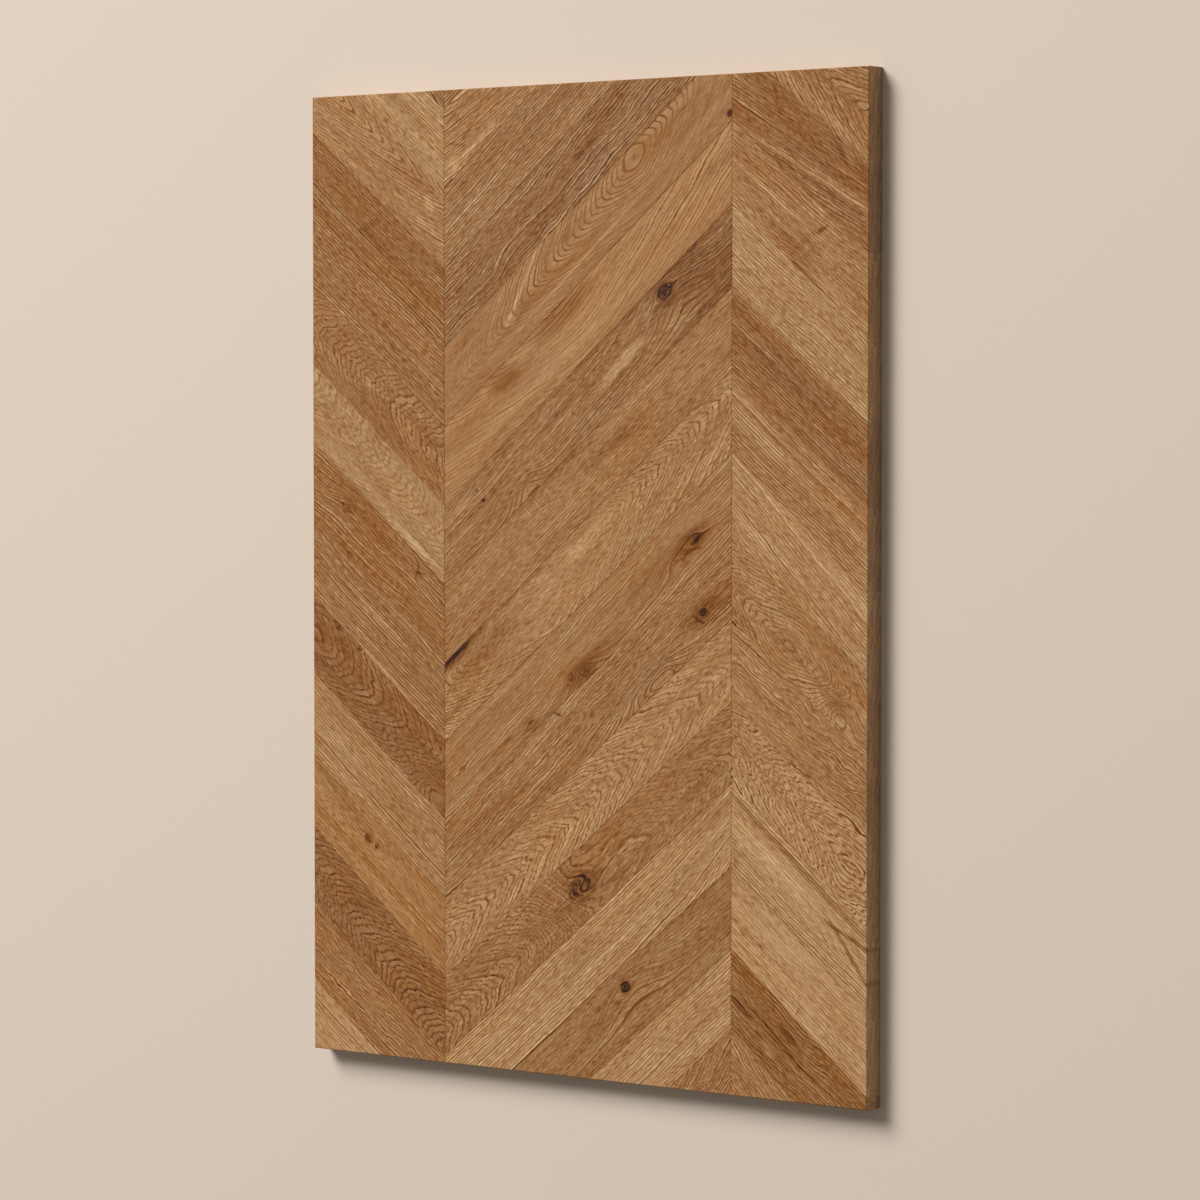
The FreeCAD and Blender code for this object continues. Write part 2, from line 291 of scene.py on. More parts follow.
# %% Oak grain group: the tone of the rings
GIVEN_BACK = 0.4
strong_year = add(grain, "ShaderNodeMapRange", None, {
    "Value": growth, "From Min": 0.35, "From Max": 0.65, "To Min": 0.6, "To Max": 1.4}).outputs[0]
fade = add(grain, "ShaderNodeMapRange", None, {
    "Value": broad, "From Min": 0.3, "From Max": 0.7, "To Min": 0.35, "To Max": 1.5}).outputs[0]
gap = add(grain, MATH, {"operation": "SUBTRACT"}, {0: 1.0, 1: given["Dashes"]}).outputs[0]
dash = add(grain, MATH, {"operation": "ADD"}, {0: 1.0, 1: given["Dashes"]}).outputs[0]
broken = add(grain, "ShaderNodeMapRange", None, {
    "Value": flecks, "From Min": 0.35, "From Max": 0.65, "To Min": gap, "To Max": dash}).outputs[0]
level = add(grain, MATH, {"operation": "MULTIPLY"}, {0: given["Line share"], 1: GIVEN_BACK}).outputs[0]
ring_shade = add(grain, MATH, {"operation": "SUBTRACT"}, {0: level, 1: one_year.outputs[0]}).outputs[0]
yearly = add(grain, MATH, {"operation": "MULTIPLY"}, {0: ring_shade, 1: strong_year}).outputs[0]
faded = add(grain, MATH, {"operation": "MULTIPLY"}, {0: yearly, 1: fade}).outputs[0]
dashed = add(grain, MATH, {"operation": "MULTIPLY"}, {0: faded, 1: broken}).outputs[0]
ring_tone = add(grain, MATH, {"operation": "MULTIPLY"}, {0: dashed, 1: given["Lines"]}).outputs[0]
print("oak_grain has", len(grain.nodes), "nodes")

# %% [markdown]
# The streaks of the fibres, the flecks, the broad change and the bands of good and bad years are then
# added, as strongly as a stave asks. In the sum, what is paler than the body counts for less than what is
# darker, because oil brings out the pores.

# %% Oak grain group: all together
BROAD_CHANGE = 0.35
PALE_WEIGHT = 0.64
fibre_tone = add(grain, MATH, {"operation": "MULTIPLY_ADD"},
                 {0: fibre_shade, 1: given["Streaks"], 2: ring_tone}).outputs[0]
fleck_shade = add(grain, MATH, {"operation": "SUBTRACT"}, {0: flecks, 1: MIDDLE}).outputs[0]
fleck_tone = add(grain, MATH, {"operation": "MULTIPLY_ADD"},
                 {0: fleck_shade, 1: given["Flecks"], 2: fibre_tone}).outputs[0]
broad_shade = add(grain, MATH, {"operation": "SUBTRACT"}, {0: broad, 1: MIDDLE}).outputs[0]
broad_tone = add(grain, MATH, {"operation": "MULTIPLY_ADD"},
                 {0: broad_shade, 1: BROAD_CHANGE, 2: fleck_tone}).outputs[0]
band_shade = add(grain, MATH, {"operation": "SUBTRACT"}, {0: growth, 1: MIDDLE}).outputs[0]
full_tone = add(grain, MATH, {"operation": "MULTIPLY_ADD"},
                {0: band_shade, 1: given["Bands"], 2: broad_tone}).outputs[0]
tone_size = add(grain, MATH, {"operation": "ABSOLUTE"}, {0: full_tone}).outputs[0]
shared_part = add(grain, MATH, {"operation": "MULTIPLY"},
                  {0: full_tone, 1: (1 + PALE_WEIGHT) / 2}).outputs[0]
weaker_pale = add(grain, MATH, {"operation": "MULTIPLY_ADD"},
                  {0: tone_size, 1: (PALE_WEIGHT - 1) / 2, 2: shared_part}).outputs[0]
add(grain, "NodeGroupOutput", None, {"Tone": weaker_pale, "Place": bent})
print("oak_grain is done, with", len(grain.nodes), "nodes")

# %% [markdown]
# A knot is the stump of a branch. The fibres of the stem flow round it as water does round a stone, so the
# knot group bends the place it is given before the grain is drawn. It does so over an oval that is about
# twice as long as wide, and a soft core keeps the bend gentle in the middle.

# %% Knot group: the flow round it
FLOW_LENGTH = 1.9
FLOW_CORE = 0.45
FLOW = 1.35
knot = bpy.data.node_groups.new("knot", "ShaderNodeTree")
for name, kind in (("Place", "Vector"), ("Centre", "Vector"), ("Radius", "Float"), ("Dark", "Float"),
                   ("Shade", "Float")):
    knot.interface.new_socket(name, in_out="INPUT", socket_type="NodeSocket" + kind)
for name, kind in (("Place", "Vector"), ("Shade", "Float")):
    knot.interface.new_socket(name, in_out="OUTPUT", socket_type="NodeSocket" + kind)
given = add(knot, "NodeGroupInput").outputs
away = add(knot, VECTOR, {"operation": "SUBTRACT"}, {0: given["Place"], 1: given["Centre"]}).outputs[0]
drawn_in = add(knot, VECTOR, {"operation": "MULTIPLY"}, {0: away, 1: (1 / FLOW_LENGTH, 1, 0)}).outputs[0]
spread = add(knot, VECTOR, {"operation": "DOT_PRODUCT"}, {0: drawn_in, 1: drawn_in}).outputs["Value"]
radius_square = add(knot, MATH, {"operation": "MULTIPLY"},
                    {0: given["Radius"], 1: given["Radius"]}).outputs[0]
soft_spread = add(knot, MATH, {"operation": "MULTIPLY_ADD"},
                  {0: radius_square, 1: FLOW_CORE, 2: spread}).outputs[0]
grip = add(knot, MATH, {"operation": "DIVIDE"}, {0: radius_square, 1: soft_spread}).outputs[0]
aside = add(knot, VECTOR, {"operation": "MULTIPLY"}, {0: away, 1: (0, -FLOW, 0)}).outputs[0]
flow = add(knot, VECTOR, {"operation": "SCALE"}, {0: aside, "Scale": grip}).outputs[0]
round_it = add(knot, VECTOR, {"operation": "ADD"}, {0: given["Place"], 1: flow}).outputs[0]
print("knot has", len(knot.nodes), "nodes")

# %% [markdown]
# The knot itself is darker than the wood: a dark core, a ring at its rim and a brown halo that runs out to
# a little over twice its radius. It is somewhat longer than wide, and a rough edge of a few millimetres
# keeps it from looking drilled.

# %% Knot group: how dark it is
ROUGH_EDGE = 5
ROUGH_SCALE = 0.3
KNOT_LENGTH = 1.25
HALO = 2.3
rough_noise = add(knot, NOISE, None, {"Vector": given["Place"], "Scale": ROUGH_SCALE, "Detail": 2})
jitter = add(knot, VECTOR, {"operation": "MULTIPLY_ADD"}, {
    0: rough_noise.outputs["Color"], 1: (ROUGH_EDGE, ROUGH_EDGE, 0),
    2: (-ROUGH_EDGE / 2, -ROUGH_EDGE / 2, 0)}).outputs[0]
jittered = add(knot, VECTOR, {"operation": "ADD"}, {0: away, 1: jitter}).outputs[0]
squeezed = add(knot, VECTOR, {"operation": "MULTIPLY"}, {0: jittered, 1: (1 / KNOT_LENGTH, 1, 0)}).outputs[0]
reach = add(knot, VECTOR, {"operation": "LENGTH"}, {0: squeezed}).outputs["Value"]
halo = add(knot, MATH, {"operation": "MULTIPLY"}, {0: given["Radius"], 1: HALO}).outputs[0]
way_out = add(knot, MATH, {"operation": "DIVIDE"}, {0: reach, 1: halo}).outputs[0]
darkening = add(knot, "ShaderNodeValToRGB", None, {0: way_out})
darkening.color_ramp.elements[0].color = (0.85, 0.85, 0.85, 1)
darkening.color_ramp.elements[1].position = 1
darkening.color_ramp.elements[1].color = (0, 0, 0, 1)
for place, darkness in ((0.1, 0.7), (0.22, 0.42), (0.3, 0.45), (0.37, 0.7), (0.43, 0.6), (0.52, 0.24),
                        (0.7, 0.1)):
    darkening.color_ramp.elements.new(place).color = (darkness, darkness, darkness, 1)
darkened = add(knot, MATH, {"operation": "MULTIPLY"}, {0: darkening.outputs[0], 1: given["Dark"]}).outputs[0]
shade = add(knot, MATH, {"operation": "SUBTRACT"}, {0: given["Shade"], 1: darkened}).outputs[0]
add(knot, "NodeGroupOutput", None, {"Place": round_it, "Shade": shade})
print("knot is done, with", len(knot.nodes), "nodes")

# %% [markdown]
# Sapwood, mineral stain, a crack and the trace of a branch that never reached the face are all spots:
# places where some value is a little more or less than round about. The spot group adds one soft oval to a
# value, turned by any angle, and half of it is left at its rim. Spots of tone make patches and streaks,
# spots of swell make ovals in the rings, and spots of line strength calm the figure or bring it out.

# %% Spot group
FALL = 0.7
spot = bpy.data.node_groups.new("spot", "ShaderNodeTree")
for name, kind in (("Place", "Vector"), ("Value", "Float"), ("Centre", "Vector"), ("Along", "Vector"),
                   ("Across", "Vector"), ("Amount", "Float"), ("Edge", "Float")):
    spot.interface.new_socket(name, in_out="INPUT", socket_type="NodeSocket" + kind)
spot.interface.new_socket("Value", in_out="OUTPUT", socket_type="NodeSocketFloat")
given = add(spot, "NodeGroupInput").outputs
away = add(spot, VECTOR, {"operation": "SUBTRACT"}, {0: given["Place"], 1: given["Centre"]}).outputs[0]
first = add(spot, VECTOR, {"operation": "DOT_PRODUCT"}, {0: away, 1: given["Along"]}).outputs["Value"]
second = add(spot, VECTOR, {"operation": "DOT_PRODUCT"}, {0: away, 1: given["Across"]}).outputs["Value"]
second_square = add(spot, MATH, {"operation": "MULTIPLY"}, {0: second, 1: second}).outputs[0]
spread = add(spot, MATH, {"operation": "MULTIPLY_ADD"}, {0: first, 1: first, 2: second_square}).outputs[0]
steep = add(spot, MATH, {"operation": "POWER"}, {0: spread, 1: given["Edge"]}).outputs[0]
fall = add(spot, MATH, {"operation": "MULTIPLY"}, {0: steep, 1: -FALL}).outputs[0]
cover = add(spot, MATH, {"operation": "EXPONENT"}, {0: fall}).outputs[0]
total = add(spot, MATH, {"operation": "MULTIPLY_ADD"},
            {0: cover, 1: given["Amount"], 2: given["Value"]}).outputs[0]
add(spot, "NodeGroupOutput", None, {"Value": total})
print("spot has", len(spot.nodes), "nodes")

# %% [markdown]
# Oiled oak keeps to one path of colours, from the near-black of a knot through the brown of the vessels and
# the body of the wood to the cream of its rays. A stave is a stretch of this path: its own body tone says
# where the middle of the stretch lies, its warmth how much colour there is in it, and its yellow how many
# degrees of hue it lies from brown towards yellow.

# %% Colours of oiled oak
OAK = ((0, "#24140B"), (0.12, "#44230D"), (0.3, "#703F18"), (0.5, "#8C5B2D"), (0.65, "#9D7147"),
       (0.8, "#B48A5C"), (1, "#D0A97C"))
print(len(OAK), "colours on the path")

# %% [markdown]
# The staves are laid out from the same numbers as the cut list: the stave's width, the chevron angle, the
# place of the first joint on the left seam, and how wide the left and centre bands are. The panel's own
# size comes from its box. From its number a stave gets the place of the left end of its upper joint, which
# is where its own millimetre grid starts. In the outer bands the grid is turned down to the right, and in
# the centre up.

# %% Where each stave's grain starts
PER_METRE = 1000
HALF_WIDTH, HALF_LENGTH, THICKNESS = (round(side * PER_METRE) for side in cad_box[1])
ANGLE = radians(39.5)
STAVE_WIDTH = 62.5
PITCH = STAVE_WIDTH / cos(ANGLE)
FIRST_JOINT = 20
LEFT_BAND = 178
CENTRE_BAND = 362
LEFT_SEAM = LEFT_BAND - HALF_WIDTH
BANDS = {
    "left": {"start": -HALF_WIDTH, "depth": FIRST_JOINT - LEFT_BAND * tan(ANGLE) - PITCH, "turn": -ANGLE},
    "centre": {"start": LEFT_SEAM, "depth": FIRST_JOINT - PITCH, "turn": ANGLE},
    "right": {"start": LEFT_SEAM + CENTRE_BAND, "depth": FIRST_JOINT - CENTRE_BAND * tan(ANGLE) + 2 * PITCH,
              "turn": -ANGLE},
}


def grid_start(band, number):
    """Where a stave's grid starts, in mm in the panel's frame."""
    start, depth = BANDS[band]["start"], BANDS[band]["depth"]
    return (start, HALF_LENGTH - depth - (number - 1) * PITCH, THICKNESS)


print("centre_stave_05 starts at", [round(value, 1) for value in grid_start("centre", 5)])

# %% [markdown]
# A card says how a stave was sawn. The heart of its figure lies so many mm along the grain and down from
# the upper joint. The taper is how fast the rings grow along the grain, the lean how far they drift
# sideways, the round and the bow how blunt they are in mm, and the ring is the width of one year in mm,
# drawn wide enough to show. The share is the dark part of a year. The wave says how strongly the stem
# wanders and the scale how closely, and the teeth say how far the fibres draw out a line. Lines, bands,
# streaks and flecks are strengths of tone, and the dashes say how far the flecks break the lines. Three
# ways of sawing cover most staves.

# %% Ways of sawing
ALIKE = {"lean": 0, "round": 4, "teeth": 5, "warmth": 1, "yellow": 0}
SAWN = {
    "straight": {"heart": (0, -300), "taper": 0.03, "bow": 10, "ring": 3, "share": 0.4, "wave": 7,
                 "scale": 0.8, "lines": 0.46, "dashes": 0.7, "bands": 0.15, "streaks": 0.18, "flecks": 1.15},
    "plain": {"heart": (0, -90), "taper": 0.07, "bow": 10, "ring": 3.1, "share": 0.4, "wave": 12,
              "scale": 1.1, "lines": 0.42, "dashes": 0.7, "bands": 0.2, "streaks": 0.2, "flecks": 1.15},
    "arched": {"heart": (400, 30), "taper": 0.42, "bow": 15, "ring": 3.6, "share": 0.34, "wave": 9,
               "scale": 1, "lines": 0.38, "dashes": 0.4, "bands": 0.18, "streaks": 0.18, "flecks": 1.1},
}
print(len(SAWN), "ways of sawing")

# %% [markdown]
# What differs is noted on the stave's own card. A knot is (along, down, radius, darkness). A spot is
# (along, down, length, width, amount), with a turn in degrees if it has one. Swells are spots that push the
# rings by some mm, calm ones weaken the lines or strengthen them, and patches are spots of tone.

# %% A card for each stave
cards = {}


def card(name, body, sawn, knots=(), swells=(), calm=(), patches=(), **changes):
    """Notes down one stave: its body tone, the way it was sawn, and what differs."""
    cards[name] = {"body": body, "knots": knots, "swells": swells, "calm": calm, "patches": patches,
                   **ALIKE, **SAWN[sawn], **changes}


print("a card is", ", ".join(["body", "knots", "swells", "calm", "patches", *ALIKE, *SAWN["plain"]]))

# %% [markdown]
# The left band's staves run down to the right from the sawn edge to the seam. Most of them are quiet:
# straight grain, pale or brown streaks, a row of dark pits on the second and small knots on the eighth,
# tenth and twelfth. On five of them the cut ran close to the pith, and the rings open in arches.

# %% Left band
card("left_stave_01", 0.56, "plain", warmth=0.98, heart=(500, -90), taper=0.25)
card("left_stave_02", 0.75, "straight", lines=0.3, warmth=0.98, yellow=1.5,
     patches=[(185, 30, 130, 8, -0.1), (190, 43, 140, 6, 0.08), (115, 56, 5, 3, -0.2),
              (136, 54, 3, 4, -0.16), (175, 55, 7, 3, -0.2), (205, 52, 4, 3, -0.2), (226, 57, 3, 3, -0.2)])
card("left_stave_03", 0.67, "arched", heart=(-30, 12), taper=0.2, bow=4, ring=3.2, wave=7, teeth=3,
     lines=0.32, calm=[(120, 52, 260, 34, -0.15)],
     patches=[(185, 18, 60, 9, -0.08), (225, 24, 16, 11, 0.12), (105, 20, 60, 4, 0.06)])
card("left_stave_04", 0.57, "straight", warmth=1.03, yellow=-0.5, lines=0.4,
     patches=[(125, 28, 36, 9, -0.1, 115)])
card("left_stave_05", 0.61, "straight", lines=0.4, flecks=1.4, patches=[(215, 25, 60, 30, 0.05)])
card("left_stave_06", 0.6, "arched", heart=(330, 20), lean=-0.04, taper=0.42, bow=30, teeth=6, share=0.36,
     lines=0.32, swells=[(200, 70, 420, 44, 20)])
card("left_stave_07", 0.71, "arched", warmth=0.98, yellow=1, heart=(-80, 8), lean=0.05, taper=0.4, bow=26,
     lines=0.2, ring=4, swells=[(100, 66, 420, 44, 18)], patches=[(235, 55, 110, 5, 0.16, -3)])
card("left_stave_08", 0.6, "plain", warmth=1.03, yellow=-0.5, knots=[(80, 24, 4, 0.3)],
     swells=[(80, 24, 50, 30, 9)],
     patches=[(195, 14, 15, 3.5, -0.22, 70), (200, 12, 11, 3, -0.18, -30), (190, 48, 24, 2, 0.14, 70),
              (180, 46, 22, 2, 0.12, 70), (203, 50, 26, 3, -0.12, 75)])
card("left_stave_09", 0.63, "straight", wave=10, lines=0.45, streaks=0.5,
     patches=[(200, 61, 170, 3, 0.18, 1), (130, 22, 200, 4, 0.08), (120, 45, 200, 5, -0.06)])
card("left_stave_10", 0.51, "arched", heart=(28, 25), taper=0.32, bow=20, ring=3.4, lines=0.28,
     knots=[(165, 46, 3, 0.4), (48, 3, 2.5, 0.4), (85, 2, 2.5, 0.4)], swells=[(252, 47, 60, 26, 18)],
     patches=[(166, 46, 6, 5, 0.3)])
card("left_stave_11", 0.72, "straight")
card("left_stave_12", 0.69, "straight", warmth=1.04, yellow=-0.5, lines=0.25,
     knots=[(115, 22, 3.4, 0.7), (129, 21, 2, 0.6)],
     patches=[(55, 11, 130, 10, -0.08, 4), (120, 13, 14, 6, 0.1)])
card("left_stave_13", 0.53, "arched", heart=(320, 66), lean=0.12, taper=0.4, bow=24, ring=3.4, lines=0.34,
     share=0.38)
card("left_stave_14", 0.63, "plain", warmth=1.02, yellow=-0.5, wave=9, scale=3.2, flecks=1)
card("left_stave_15", 0.8, "straight", patches=[(85, 55, 60, 12, -0.1)])
print(len(cards), "cards")

# %% [markdown]
# The staves of the centre band climb to the right, and they are the longest, so they show the most. Here
# are nested arches on the fifth, a slow oval on the sixth, a knot with a pale tongue beside it on the
# seventh, rays across the grain on the eighth, a dark wedge at the start of the ninth, and the largest
# knot, with rings that swell round it, on the thirteenth.

# %% Centre band
card("centre_stave_01", 0.61, "straight")
card("centre_stave_02", 0.69, "plain", heart=(600, -90), taper=0.12,
     patches=[(0, 55, 75, 8, 0.14), (-25, 50, 14, 14, 0.1), (-8, 41, 26, 3, -0.12, 50)])
card("centre_stave_03", 0.64, "straight", warmth=0.98, yellow=0.5, patches=[(150, 32, 110, 26, -0.05)])
card("centre_stave_04", 0.57, "plain", warmth=0.97, yellow=0.5, scale=1.3, lines=0.45, streaks=0.4,
     swells=[(85, 28, 70, 30, 13)],
     patches=[(215, 28, 40, 7, -0.14), (260, 12, 80, 16, -0.06), (150, 42, 60, 4, -0.1),
              (100, 32, 8, 4, 0.15), (190, 22, 8, 3, 0.15), (118, 38, 8, 4, 0.1)])
card("centre_stave_05", 0.645, "arched", heart=(305, 11), lean=-0.1, taper=0.36, bow=12, ring=3.4, wave=5,
     teeth=2, streaks=0.12, lines=0.32, flecks=0.6, knots=[(420, 55, 2.5, 0.9)],
     swells=[(200, 66, 420, 36, 14)], calm=[(0, 30, 150, 90, -0.2), (420, 30, 120, 60, -0.15)],
     patches=[(84, 33, 15, 9, 0.13), (125, 14, 90, 4.5, 0.18, -23), (190, 47, 180, 3.4, 0.15, -1),
              (305, 11, 52, 18, 0.08), (305, 11, 40, 12, -0.1), (390, 30, 120, 14, -0.05)])
card("centre_stave_06", 0.7, "arched", warmth=1.02, yellow=-0.5, heart=(190, -8), taper=0.24, round=12,
     bow=10, ring=4, lines=0.18, wave=7, teeth=4, streaks=0.12, bands=0.1, flecks=0.6,
     calm=[(190, 5, 70, 22, 0.2), (380, 26, 160, 40, 0.16)],
     patches=[(92, 10, 44, 26, -0.16, 20), (190, 9, 80, 20, -0.15), (150, 46, 220, 10, 0.06)])
card("centre_stave_07", 0.62, "plain", warmth=0.98, yellow=0.5, share=0.36, lines=0.3, wave=6, streaks=0.3,
     knots=[(352, 13, 6.5, 0.5), (43, 15, 1.5, 0.8), (43, 28, 1.3, 0.8)],
     swells=[(354, 16, 90, 44, 24), (95, 46, 50, 28, 16)], calm=[(262, 33, 90, 15, -0.3)],
     patches=[(425, 35, 130, 80, -0.15), (378, 10, 70, 26, -0.08), (347, 14, 34, 17, -0.12),
              (262, 34, 96, 21, -0.16, -3), (262, 33, 82, 14, 0.36, -3), (310, 2, 230, 5, -0.12),
              (2, 17, 60, 6, 0.1), (60, 28, 80, 6, -0.05), (330, 56, 180, 9, -0.08)])
card("centre_stave_08", 0.655, "straight", lines=0.2,
     patches=[(270, 25, 60, 16, -0.05), (132, 12, 16, 1.3, 0.16, 80), (146, 11, 22, 1.3, 0.16, 82),
              (158, 14, 18, 1.4, -0.1, 82), (165, 12, 20, 1.2, 0.12, 80), (72, 45, 14, 1.2, 0.16, 80),
              (84, 44, 12, 1.2, 0.14, 82), (96, 42, 14, 1.2, 0.12, 78)])
card("centre_stave_09", 0.7, "arched", heart=(130, 17), taper=0.34, bow=8, ring=3.4,
     calm=[(160, 22, 250, 60, -0.34)],
     patches=[(12, 2, 70, 13, -0.32), (8, 0, 60, 7, -0.24), (80, 2, 120, 5, -0.12), (45, 22, 90, 26, -0.09),
              (-10, 45, 70, 8, -0.1, -5), (230, 17, 76, 16, 0.08)])
card("centre_stave_10", 0.67, "plain", lines=0.28, flecks=0.8, wave=8,
     knots=[(102, 54, 3.4, 0.22), (190, 55, 4.5, 0.24), (173, 50, 3, 0.14), (380, 37, 4.5, 0.24),
            (0, 36, 2.4, 0.2)], swells=[(365, 36, 80, 20, 15), (190, 55, 60, 20, 14)],
     patches=[(205, 52, 90, 18, -0.09), (355, 36, 110, 16, -0.09), (377, 37, 44, 15, -0.15),
              (187, 53, 46, 13, -0.12), (102, 54, 22, 11, -0.12), (50, 48, 100, 3, -0.08, 8),
              (190, 26, 14, 10, -0.05)])
card("centre_stave_11", 0.65, "plain", lines=0.36, knots=[(395, 36, 3.6, 0.6)],
     swells=[(305, 50, 90, 28, 24)], calm=[(300, 50, 100, 26, 0.3)],
     patches=[(187, 5, 11, 3, -0.4, 60), (145, 12, 5, 2, -0.25), (35, 32, 120, 12, -0.06, 3),
              (315, 46, 64, 14, -0.09), (386, 40, 12, 3, -0.3, 60), (404, 42, 64, 26, -0.13, 15)])
card("centre_stave_12", 0.72, "arched", heart=(-90, 35), taper=0.36, bow=7, ring=3.8, lines=0.4, teeth=7,
     calm=[(390, 30, 210, 90, -0.14)], patches=[(340, 35, 110, 4, -0.06), (340, 35, 90, 2, 0.1)])
card("centre_stave_13", 0.63, "arched", heart=(-90, 42), taper=0.4, bow=10, ring=3.8, lines=0.34,
     share=0.38, teeth=6, knots=[(203, 30, 9.5, 0.7)], swells=[(203, 30, 96, 56, 34)],
     calm=[(350, 30, 200, 90, -0.15)],
     patches=[(205, 30, 66, 46, -0.04), (203, 30, 12, 9, 0.2), (405, 37, 70, 14, -0.07)])
card("centre_stave_14", 0.775, "straight", swells=[(480, 55, 150, 60, 26)],
     patches=[(200, 33, 300, 5, -0.06), (425, 8, 70, 16, -0.1)])
card("centre_stave_15", 0.62, "straight", share=0.3, lines=0.28, knots=[(287, 17, 4.4, 0.8)],
     swells=[(285, 12, 110, 50, 24)], patches=[(165, 4, 50, 8, 0.06)])
card("centre_stave_16", 0.78, "straight", lines=0.36,
     patches=[(335, 55, 10, 2, -0.2, 20), (350, 57, 10, 2, -0.2, 20), (365, 59, 9, 2, -0.2, 20)])
card("centre_stave_17", 0.64, "plain", heart=(100, -90), taper=0.3)
print(len(cards), "cards")

# %% [markdown]
# The right band runs down to the right again, to the sawn edge that shows. Its second stave has a streak of
# sapwood, the eighth an oval over a hidden branch, the ninth curls, and the tenth is a bold figure that
# closes into an oval near the edge. The eleventh is calm, with a dark V, the twelfth the palest, and the
# thirteenth has dark stripes round a pale island.

# %% Right band
card("right_stave_01", 0.62, "arched", heart=(290, 25), taper=0.3, bow=8, patches=[(200, 55, 130, 9, 0.1)])
card("right_stave_02", 0.56, "plain", heart=(-300, -90), taper=0.16, lines=0.35, wave=8,
     patches=[(76, 12, 17, 4, -0.16, 35), (66, 16, 16, 4, -0.1, -20), (172, 8, 30, 5, -0.16, 15),
              (150, 46, 190, 4, 0.18, -10), (165, 39, 150, 2.5, 0.12, -10), (150, 53, 180, 2, -0.1, -10),
              (215, 8, 40, 14, -0.07)])
card("right_stave_03", 0.68, "plain", lines=0.32, wave=8,
     patches=[(151, 16, 13, 4, -0.3, 112), (142, 38, 36, 6, -0.08, 105), (140, 52, 60, 14, -0.1),
              (90, 27, 160, 2.5, 0.1), (130, 41, 180, 3, 0.1), (60, 12, 130, 20, -0.04),
              (160, 61.5, 80, 1.6, -0.25)])
card("right_stave_04", 0.74, "straight", warmth=0.98, yellow=1, wave=9, scale=1, lines=0.4)
card("right_stave_05", 0.58, "straight", lines=0.36,
     patches=[(100, 17, 200, 3, -0.08, 2), (100, 30, 220, 20, -0.03)])
card("right_stave_06", 0.7, "straight", lines=0.42, streaks=0.3,
     patches=[(120, 18, 240, 6, -0.06), (130, 50, 240, 24, -0.05), (120, 28, 240, 8, 0.05)])
card("right_stave_07", 0.76, "plain", heart=(600, -200), taper=0.1, lines=0.34, wave=8,
     patches=[(75, 50, 50, 20, 0.05)])
card("right_stave_08", 0.68, "arched", heart=(120, 38), taper=0.34, bow=8, ring=3.4, wave=13, lines=0.3,
     share=0.34, swells=[(205, 46, 40, 30, 22)],
     patches=[(85, 50, 30, 8, 0.08), (115, 22, 30, 8, 0.06), (200, 46, 30, 22, -0.1),
              (60, 55, 60, 10, -0.06)])
card("right_stave_09", 0.69, "plain", taper=0.12, share=0.5, wave=12, scale=2.6, teeth=8, lines=0.36,
     bands=0.1, calm=[(60, 50, 150, 26, -0.2)], patches=[(210, 35, 90, 26, -0.05)])
card("right_stave_10", 0.75, "arched", heart=(208, 28), taper=0.36, bow=6, ring=3.1, wave=17, lines=0.5,
     share=0.42, teeth=10)
card("right_stave_11", 0.77, "straight", warmth=0.98, yellow=1, calm=[(120, 30, 300, 30, -0.3)],
     patches=[(120, 8, 230, 6, -0.16), (120, 30, 240, 24, 0.08), (205, 19, 84, 4, -0.3, -12),
              (210, 33, 84, 4, -0.3, 14), (173, 25, 8, 6, -0.1)])
card("right_stave_12", 0.8, "straight", lines=0.2, streaks=0.5,
     patches=[(148, 57, 8, 2, -0.3, 80), (75, 36, 5, 2, -0.2), (92, 38, 4, 2, -0.2),
              (150, 46, 200, 2, 0.1, 2)])
card("right_stave_13", 0.57, "plain", warmth=1.03, wave=14, lines=0.44, teeth=9,
     patches=[(105, 18, 28, 8, -0.24), (45, 38, 30, 8, -0.2), (100, 30, 110, 2.5, -0.2, 1),
              (94, 46, 36, 21, -0.12), (95, 46, 24, 13, 0.24)])
card("right_stave_14", 0.67, "plain", heart=(300, -90), taper=0.2)
print(len(cards), "cards")

# %% [markdown]
# Now a card is turned into wood. A stave's own grid starts at its upper joint and turns with it. Its knots
# bend the grid, one after another. Its swells and calm places are added to the values that the grain group
# takes, the grain is drawn, and the patches go over the tone that comes out. Swells fade softly, the rest
# more firmly.


# %% The wood of one stave
def spot_at(along, down, length, width, amount, turn=0):
    """What the spot group needs to know about one spot, with its turn in degrees."""
    turned = radians(turn)
    return {"Centre": (along, down, 0), "Amount": amount,
            "Along": (cos(turned) * 2 / length, sin(turned) * 2 / length, 0),
            "Across": (-sin(turned) * 2 / width, cos(turned) * 2 / width, 0)}


def with_spots(tree, place, value, spots, edge):
    """A value with a card's spots added to it, one after another."""
    for noted in spots:
        value = add(tree, "ShaderNodeGroup", {"node_tree": spot}, {
            "Place": place, "Value": value, "Edge": edge, **spot_at(*noted)}).outputs[0]
    return value


SEED_SPACING = 1.37
SOFT_EDGE = 1
FIRM_EDGE = 2


